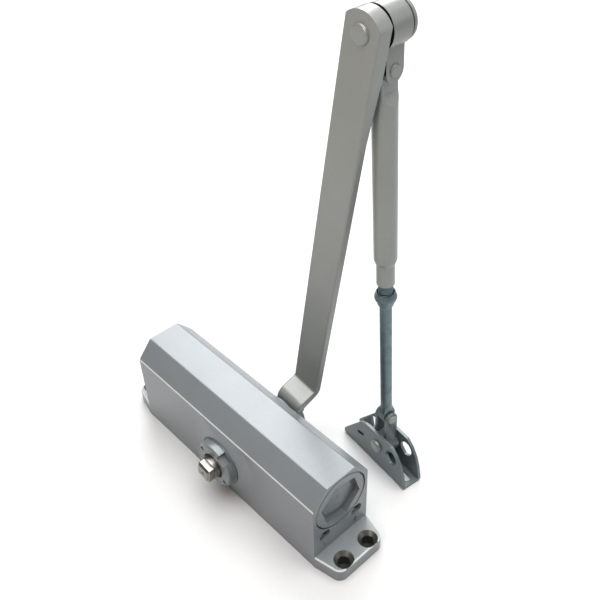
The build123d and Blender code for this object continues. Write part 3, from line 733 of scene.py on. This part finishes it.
def bent_strip(
    path: Sequence[tuple[float, float]], width: float, gauge: float
) -> bmesh.types.BMesh:
    """A strip of sheet that follows a path, with its width along Y.

    Args:
        path: The corners of its middle line in X and Z, in metres.
        width: The strip's width.
        gauge: The sheet's thickness.

    Returns:
        The strip.
    """
    mesh = bmesh.new()
    rings = []
    for index, (x, z) in enumerate(path):
        low, high = max(index - 1, 0), min(index + 1, len(path) - 1)
        run = Vector((path[high][0] - path[low][0], path[high][1] - path[low][1])).normalized()
        off = Vector((-run.y, run.x)) * gauge / 2
        ring = []
        for side, half in ((1, -width / 2), (1, width / 2), (-1, width / 2), (-1, -width / 2)):
            ring.append(mesh.verts.new((x + side * off.x, half, z + side * off.y)))
        rings.append(ring)
    for here, there in zip(rings, rings[1:]):
        for corner in range(4):
            after = (corner + 1) % 4
            mesh.faces.new((here[corner], there[corner], there[after], here[after]))
    mesh.faces.new(rings[0])
    mesh.faces.new(reversed(rings[-1]))
    return mesh


def repaint(piece: bpy.types.Object, finish: Finish, inside: Iterable[int]) -> None:
    """Give some of a piece's faces a second finish.

    Args:
        piece: The dressed piece.
        finish: The second finish.
        inside: The numbers of the faces that take it.
    """
    piece.data.materials.append(material_for(finish))
    last = len(piece.data.materials) - 1
    for number in inside:
        piece.data.polygons[number].material_index = last


# ------------------------------------------------------------------ sub-assemblies
@dataclass
class SubAssembly:
    """A group of the closer's nodes that is dressed and detailed together."""

    title: str = "group"
    finishes: dict[str, Finish] = field(default_factory=dict)
    edge_mm: float = 0.35

    def dress_nodes(self) -> None:
        """Give every node of the group its finish and soft edges."""
        for name, finish in self.finishes.items():
            piece = frame["nodes"][name]
            dress(piece, finish)
            soften(piece, self.edge_mm)

    def details(self) -> list[bpy.types.Object]:
        """Make the group's fine details. A plain group has none."""
        return []

    def build(self) -> None:
        """Dress the group, add its details and report both."""
        self.dress_nodes()
        added = self.details()
        LOG.info("%s: %d nodes dressed, %d details", self.title, len(self.finishes), len(added))


@dataclass
class BodyCasting(SubAssembly):
    """The die-cast body with its two feet and four countersunk fixing holes."""

    title: str = "body casting"
    finishes: dict[str, Finish] = field(default_factory=lambda: {"housing": CASTING_LACQUER})
    edge_mm: float = 0.5
    fixing_pitch_mm: tuple[float, float] = (184.0, 19.0)
    countersink_mm: float = 5.85
    foot_top_mm: float = 9.5
    end_face_mm: float = 80.0
    digit_place_mm: tuple[float, float] = (12.4, 15.4)  # outwards and up
    digit_height_mm: float = 3.6
    digit_stroke_mm: float = 0.9
    digit_rise_mm: float = 0.5
    shoulder_mm: tuple[float, float] = (50.3, 51.5)  # heights of the side walls' upper edge
    half_width_mm: float = 20.75
    wall_band_mm: float = 0.7  # how far in from the wall its upper edge reaches
    foot_rim_mm: float = 0.8

    def details(self) -> list[bpy.types.Object]:
        """Bare the holes' metal, paint a highlight along the edges and cast the valves' numbers on the
        end face.
        """
        self.machine_holes()
        self.paint_edge_highlights()
        unit = self.digit_height_mm / 2 * MM
        digits = {
            "valve_number_one": (-1, ((-0.45, 0.55), (0.1, 1.0), (0.1, -1.0))),
            "valve_number_two": (
                1,
                (
                    (-0.55, 0.55),
                    (-0.3, 0.9),
                    (0.05, 1.0),
                    (0.4, 0.85),
                    (0.52, 0.45),
                    (0.3, 0.0),
                    (-0.6, -1.0),
                    (0.6, -1.0),
                ),
            ),
        }
        made = []
        for name, (side, path) in digits.items():
            line = raised_line(
                [(x * unit, y * unit) for x, y in path],
                self.digit_stroke_mm * MM,
                self.digit_rise_mm * MM,
                0.2 * self.digit_stroke_mm * MM,
            )
            out, up = self.digit_place_mm
            foot = Vector((self.end_face_mm, side * out, up)) * MM
            placed = basis(foot, Vector((1, 0, 0)), Vector((0, 1, 0)))
            made.append(new_piece(name, line, placed, "housing", CASTING_LACQUER))
        return made

    def in_fixing_hole(self, x: float, y: float) -> bool:
        """Whether a place in plan lies in one of the countersunk holes."""
        half_x, half_y = (pitch / 2 * MM for pitch in self.fixing_pitch_mm)
        reach = (self.countersink_mm + 0.05) * MM
        return math.hypot(abs(x) - half_x, abs(y) - half_y) < reach

    def machine_holes(self) -> None:
        """Show bare metal where the fixing holes were drilled through the lacquer."""
        piece = frame["nodes"]["housing"]
        cut = []
        for face in piece.data.polygons:
            x, y, z = face.center
            inside = 0.02 * MM < z < (self.foot_top_mm - 0.02) * MM
            if inside and self.in_fixing_hole(x, y):
                cut.append(face.index)
        repaint(piece, MACHINED_CASTING, cut)
        LOG.info("fixing holes: %d faces of bare metal", len(cut))

    def paint_edge_highlights(self) -> None:
        """Paint a highlight, a paler lacquer, on the side walls' upper edges and on the feet's rims."""
        low, high = (height * MM for height in self.shoulder_mm)
        piece = frame["nodes"]["housing"]
        highlighted = []
        for face in piece.data.polygons:
            x, y, z = face.center
            outer = abs(y) > (self.half_width_mm - self.wall_band_mm) * MM
            on_shoulder = low < z < high and outer
            on_rim = (
                not self.in_fixing_hole(x, y)
                and abs(x) > self.end_face_mm * MM
                and (self.foot_top_mm - self.foot_rim_mm) * MM < z < self.foot_top_mm * MM
            )
            rise = face.normal.z
            # These faces take the painted highlight.
            if (on_shoulder and 0.2 < rise < 0.5) or (on_rim and 0.6 < rise < 0.8):
                highlighted.append(face.index)
        repaint(piece, EDGE_HIGHLIGHT_LACQUER, highlighted)
        LOG.info("worn edges: %d faces of thin lacquer", len(highlighted))


@dataclass
class Closures(SubAssembly):
    """The end plugs, the gland nuts, the regulating screws and every seal."""

    title: str = "plugs, glands and valves"
    finishes: dict[str, Finish] = field(
        default_factory=lambda: {
            "valve_end_plug": PLUG_LACQUER,
            "spring_end_plug": PLUG_LACQUER,
            "near_gland_nut": PLUG_LACQUER,
            "far_gland_nut": PLUG_LACQUER,
            "sweep_valve_screw": ZINC_PLATE,
            "latch_valve_screw": ZINC_PLATE,
            "plug_seals": SEAL_RUBBER,
            "spindle_seals": SEAL_RUBBER,
            "sweep_valve_seal": SEAL_RUBBER,
            "latch_valve_seal": SEAL_RUBBER,
            "spindle_bearings": SINTERED_BRONZE,
        }
    )
    edge_mm: float = 0.3
    bore_height_mm: float = 42.5
    socket_floor_mm: float = 76.4
    ring_inner_mm: float = 1.2
    ring_outer_mm: float = 11.6
    ring_pitch_mm: float = 1.3
    ring_rise_mm: float = 0.22

    def details(self) -> list[bpy.types.Object]:
        """Turn the rings into the floors of the two key sockets."""
        made = []
        for side, name in ((1, "valve_end_socket_rings"), (-1, "spring_end_socket_rings")):
            disc = ribbed_disc(
                self.ring_inner_mm * MM,
                self.ring_outer_mm * MM,
                self.ring_pitch_mm * MM,
                self.ring_rise_mm * MM,
            )
            floor = Vector((side * self.socket_floor_mm, 0, self.bore_height_mm)) * MM
            placed = basis(floor, Vector((side, 0, 0)), Vector((0, 1, 0)))
            made.append(new_piece(name, disc, placed, "housing", PLUG_LACQUER))
        return made


@dataclass
class Hydraulics(SubAssembly):
    """The rack piston with its rings and check valve, and the return spring."""

    title: str = "piston and spring"
    finishes: dict[str, Finish] = field(
        default_factory=lambda: {
            "rack_piston": TURNED_ALUMINIUM,
            "piston_rings": SEAL_RUBBER,
            "check_valve_ball": GROUND_STEEL,
            "check_valve_seat": TURNED_BRASS,
            "spring_seat": ZINC_PLATE,
            "return_spring": OILED_SPRING_STEEL,
        }
    )
    edge_mm: float = 0.0


@dataclass
class SpindleAndArm(SubAssembly):
    """The pinion spindle, the cranked main arm and what clamps them together."""

    title: str = "spindle and main arm"
    finishes: dict[str, Finish] = field(
        default_factory=lambda: {
            "pinion_spindle": GROUND_STEEL,
            "arm_washer": ZINC_PLATE,
            "arm_screw": ZINC_PLATE,
            "main_arm": ARM_LACQUER,
        }
    )
    edge_mm: float = 0.3


@dataclass
class Elbow(SubAssembly):
    """The knuckle at the arm's upper end, with its pin, washer and link rivet."""

    title: str = "elbow"
    finishes: dict[str, Finish] = field(
        default_factory=lambda: {
            "elbow_pin": RIVET_LACQUER,
            "elbow_washer": ARM_LACQUER,
            "elbow_link": ARM_LACQUER,
            "elbow_link_rivet": RIVET_LACQUER,
        }
    )
    edge_mm: float = 0.0
    rubbing_face_mm: float = 51.15  # of the link, towards the arm
    collar_radius_mm: float = 5.9
    collar_reach_mm: float = 2.0  # to each side of that face

    def details(self) -> list[bpy.types.Object]:
        """Paint shade on the knuckle's faces in the gap between link and arm, and on the pin there. The
        group has no piece of its own.
        """
        link = frame["nodes"]["elbow_link"]
        # The link's faces towards the arm, deep in the gap, take painted shade.
        near = [
            face.index
            for face in link.data.polygons
            if face.normal.y < -0.99 and face.center.y < (self.rubbing_face_mm + 0.1) * MM
        ]
        repaint(link, GAP_SHADE_STEEL, near)
        pin = frame["nodes"]["elbow_pin"]
        axis = pivot("elbow_turn")
        depth = (self.rubbing_face_mm - 0.05) * MM
        reach = self.collar_reach_mm * MM
        radius = self.collar_radius_mm * MM
        collar = [
            face.index
            for face in pin.data.polygons
            if depth - reach < face.center.y < depth + reach
            and math.hypot(face.center.x - axis.x, face.center.z - axis.z) < radius
        ]
        # The pin's collar in that gap takes painted shade too.
        repaint(pin, GAP_SHADE_STEEL, collar)
        LOG.info("elbow: %d greased faces", len(near) + len(collar))
        return []


@dataclass
class Forearm(SubAssembly):
    """The tube, the lock nut and the threaded rod that sets the forearm's length."""

    title: str = "forearm"
    finishes: dict[str, Finish] = field(
        default_factory=lambda: {
            "forearm_tube": TUBE_LACQUER,
            "lock_nut": DULL_ZINC_PLATE,
            "adjusting_rod": DULL_ZINC_PLATE,
        }
    )
    edge_mm: float = 0.3
    thread_radius_mm: float = 3.85
    thread_rise_mm: float = 0.2
    thread_pitch_mm: float = 1.25
    thread_span_mm: tuple[float, float] = (119.9, 126.0)  # from the link rivet

    def details(self) -> list[bpy.types.Object]:
        """Wind the thread's crest on the rod's bare neck."""
        low, high = (edge * MM for edge in self.thread_span_mm)
        ridge = helical_ridge(
            self.thread_radius_mm * MM,
            self.thread_rise_mm * MM,
            self.thread_pitch_mm * MM,
            low,
            high,
        )
        down = axis_of("rod_turn")
        placed = basis(pivot("forearm_tilt"), down, Vector((1, 0, 0)))
        crest = new_piece("rod_thread_crest", ridge, placed, "rod", DULL_ZINC_PLATE)
        return [crest]


@dataclass
class Shoe(SubAssembly):
    """The folded bracket with its pin, and the link that carries it."""

    title: str = "shoe"
    finishes: dict[str, Finish] = field(
        default_factory=lambda: {
            "shoe_link": SHADED_SHOE_LACQUER,
            "shoe_link_rivet": RIVET_LACQUER,
            "shoe_bracket": SHADED_SHOE_LACQUER,
            "shoe_pin": RIVET_LACQUER,
        }
    )
    edge_mm: float = 0.35
    tab_along_mm: float = -15.5
    tab_height_mm: float = 14.5
    tab_turn_deg: float = 16.0
    tab_width_mm: float = 2.4
    tab_gauge_mm: float = 0.8
    tab_path_mm: tuple[tuple[float, float], ...] = (  # along the wall and in from it
        (-3.2, 0.25),
        (-1.6, 0.3),
        (0.0, 0.4),
        (1.4, 0.6),
        (2.4, 0.8),
        (3.2, 1.1),
    )
    wall_inner_mm: float = 5.2

    def details(self) -> list[bpy.types.Object]:
        """Bend the lanced tab inwards behind its slot in the near wall."""
        path = [(along * MM, inwards * MM) for along, inwards in self.tab_path_mm]
        tab = bent_strip(path, self.tab_width_mm * MM, self.tab_gauge_mm * MM)
        cross = axis_of("shoe_turn")
        run = cross.cross(Vector((0, 0, 1))).normalized()
        foot = pivot("shoe_turn").copy()
        foot.z = self.tab_height_mm * MM
        foot += run * self.tab_along_mm * MM - cross * self.wall_inner_mm * MM
        turn = math.radians(self.tab_turn_deg)
        placed = basis(foot, cross, run * math.cos(turn) + Vector((0, 0, math.sin(turn))))
        return [new_piece("shoe_lanced_tab", tab, placed, "shoe", SHADED_SHOE_LACQUER)]


# ------------------------------------------------------------------ studio and camera
def aimed(place: Vector, target: Vector) -> Matrix:
    """A lamp's matrix that stands at place, shines at target and has its width level."""
    away = (place - target).normalized()
    return basis(place, away, Vector((-away.y, away.x, 0.0001)))


@dataclass
class Studio:
    """White sweep, one large soft light overhead and weaker ones at the sides."""

    floor_half_m: float = 6.0
    shade_card_half_mm: tuple[float, float] = (95.0, 14.0)
    world_strength: float = 0.17
    world_tint: str = "#D4E6EA"
    warm_tint: str = "#FFE6D2"

    def build(self) -> None:
        """Set the floor, the surroundings and the lights."""
        self.floor()
        self.surroundings()
        top = CAD_BOX[1].z
        middle = Vector((0.02, 0.02, top * 0.3))
        self.softbox("overhead", Vector((0.0, 0.1, 2.2)), middle, (2.2, 2.2), 96.0)
        self.softbox("behind", Vector((-1.0, 0.95, 1.15)), middle, (1.1, 1.1), 24.0)
        self.softbox("right", Vector((1.25, 0.75, 1.0)), middle, (0.7, 0.7), 4.0)
        elbow_height = Vector((0.04, 0.04, top))
        front = Vector((0.15, -0.5, 0.6))
        self.softbox("front", front, elbow_height, (0.3, 0.3), 0.42, self.warm_tint, 60.0)
        bpy.context.scene.view_settings.view_transform = "Standard"

    def floor(self) -> None:
        """Lay the pale floor just under the mounting face, and the card on it.

        The card is a dark sheet that paints shade into the open fixing holes above it.
        """
        half = self.floor_half_m
        self.sheet("floor", (half, half), FLOOR_GAP_MM, MattePaper())
        half_x, half_y = (half * MM for half in self.shade_card_half_mm)
        # The card takes the seals' black rubber: a dark sheet for painted shade.
        self.sheet("card", (half_x, half_y), SHADE_CARD_GAP_MM, SEAL_RUBBER)

    def sheet(self, name: str, half: tuple[float, float], gap_mm: float, finish: Finish) -> None:
        """Lay a flat rectangle under the body.

        Args:
            name: The sheet's name.
            half: Half its size along X and Y, in metres.
            gap_mm: How far it lies below the mounting face.
            finish: What it is made of.
        """
        mesh = bmesh.new()
        half_x, half_y = half
        corners = [(-half_x, -half_y, 0), (half_x, -half_y, 0), (half_x, half_y, 0), (-half_x, half_y, 0)]
        mesh.faces.new([mesh.verts.new(corner) for corner in corners])
        mesh.transform(Matrix.Translation(Vector((0, 0, CAD_BOX[0].z - gap_mm * MM))))
        data = bpy.data.meshes.new(name)
        mesh.to_mesh(data)
        mesh.free()
        laid = bpy.data.objects.new(name, data)
        bpy.context.scene.collection.objects.link(laid)
        dress(laid, finish)

    def surroundings(self) -> None:
        """Even, slightly cool light from all round."""
        world = bpy.data.worlds.new("studio")
        world.use_nodes = True
        background = world.node_tree.nodes["Background"]
        background.inputs["Color"].default_value = linear(self.world_tint)
        background.inputs["Strength"].default_value = self.world_strength
        bpy.context.scene.world = world

    def softbox(
        self,
        name: str,
        place: Vector,
        target: Vector,
        size_m: tuple[float, float],
        watts: float,
        tint: str = "#FFFFFF",
        beam_deg: float = 180.0,
    ) -> None:
        """Hang one soft light.

        Args:
            name: The light's name.
            place: Where it hangs.
            target: What it shines at.
            size_m: Its width and height.
            watts: Its power.
            tint: Its colour.
            beam_deg: How wide its beam opens: a grid in front of a softbox narrows it.
        """
        lamp = bpy.data.lights.new(name, "AREA")
        lamp.shape = "RECTANGLE"
        lamp.size, lamp.size_y = size_m
        lamp.energy = watts
        lamp.color = linear(tint)[:3]
        lamp.spread = math.radians(beam_deg)
        holder = bpy.data.objects.new(name, lamp)
        holder.matrix_world = aimed(place, target)
        bpy.context.scene.collection.objects.link(holder)


@dataclass
class Viewpoint:
    """The camera: from the right end, the near side and above."""

    place_mm: tuple[float, float, float] = (263.42, -186.33, 408.99)
    azimuth_deg: float = 48.53
    elevation_deg: float = 40.48
    roll_deg: float = -2.13
    lens_mm: float = 48.33
    sensor_mm: float = 36.0

    def build(self) -> None:
        """Set the camera and make it the scene's."""
        azimuth = math.radians(self.azimuth_deg)
        elevation = math.radians(self.elevation_deg)
        roll = math.radians(self.roll_deg)
        back = Vector(
            (
                math.sin(azimuth) * math.cos(elevation),
                -math.cos(azimuth) * math.cos(elevation),
                math.sin(elevation),
            )
        )
        level = (-back).cross(Vector((0, 0, 1))).normalized()
        upright = level.cross(-back)
        right = level * math.cos(roll) + upright * math.sin(roll)
        over = upright * math.cos(roll) - level * math.sin(roll)
        turned = Matrix((right, over, back)).transposed().to_4x4()
        lens = bpy.data.cameras.new("camera")
        lens.lens = self.lens_mm
        lens.sensor_width = self.sensor_mm
        lens.clip_start = 0.01
        holder = bpy.data.objects.new("camera", lens)
        holder.matrix_world = Matrix.Translation(Vector(self.place_mm) * MM) @ turned
        bpy.context.scene.collection.objects.link(holder)
        bpy.context.scene.camera = holder


def main() -> None:
    """Build everything in order."""
    logging.basicConfig(level=logging.INFO, format="%(name)s: %(message)s")
    for group in (
        BodyCasting(),
        Closures(),
        Hydraulics(),
        SpindleAndArm(),
        Elbow(),
        Forearm(),
        Shoe(),
        Studio(),
        Viewpoint(),
    ):
        group.build()


if __name__ == "__main__":
    main()
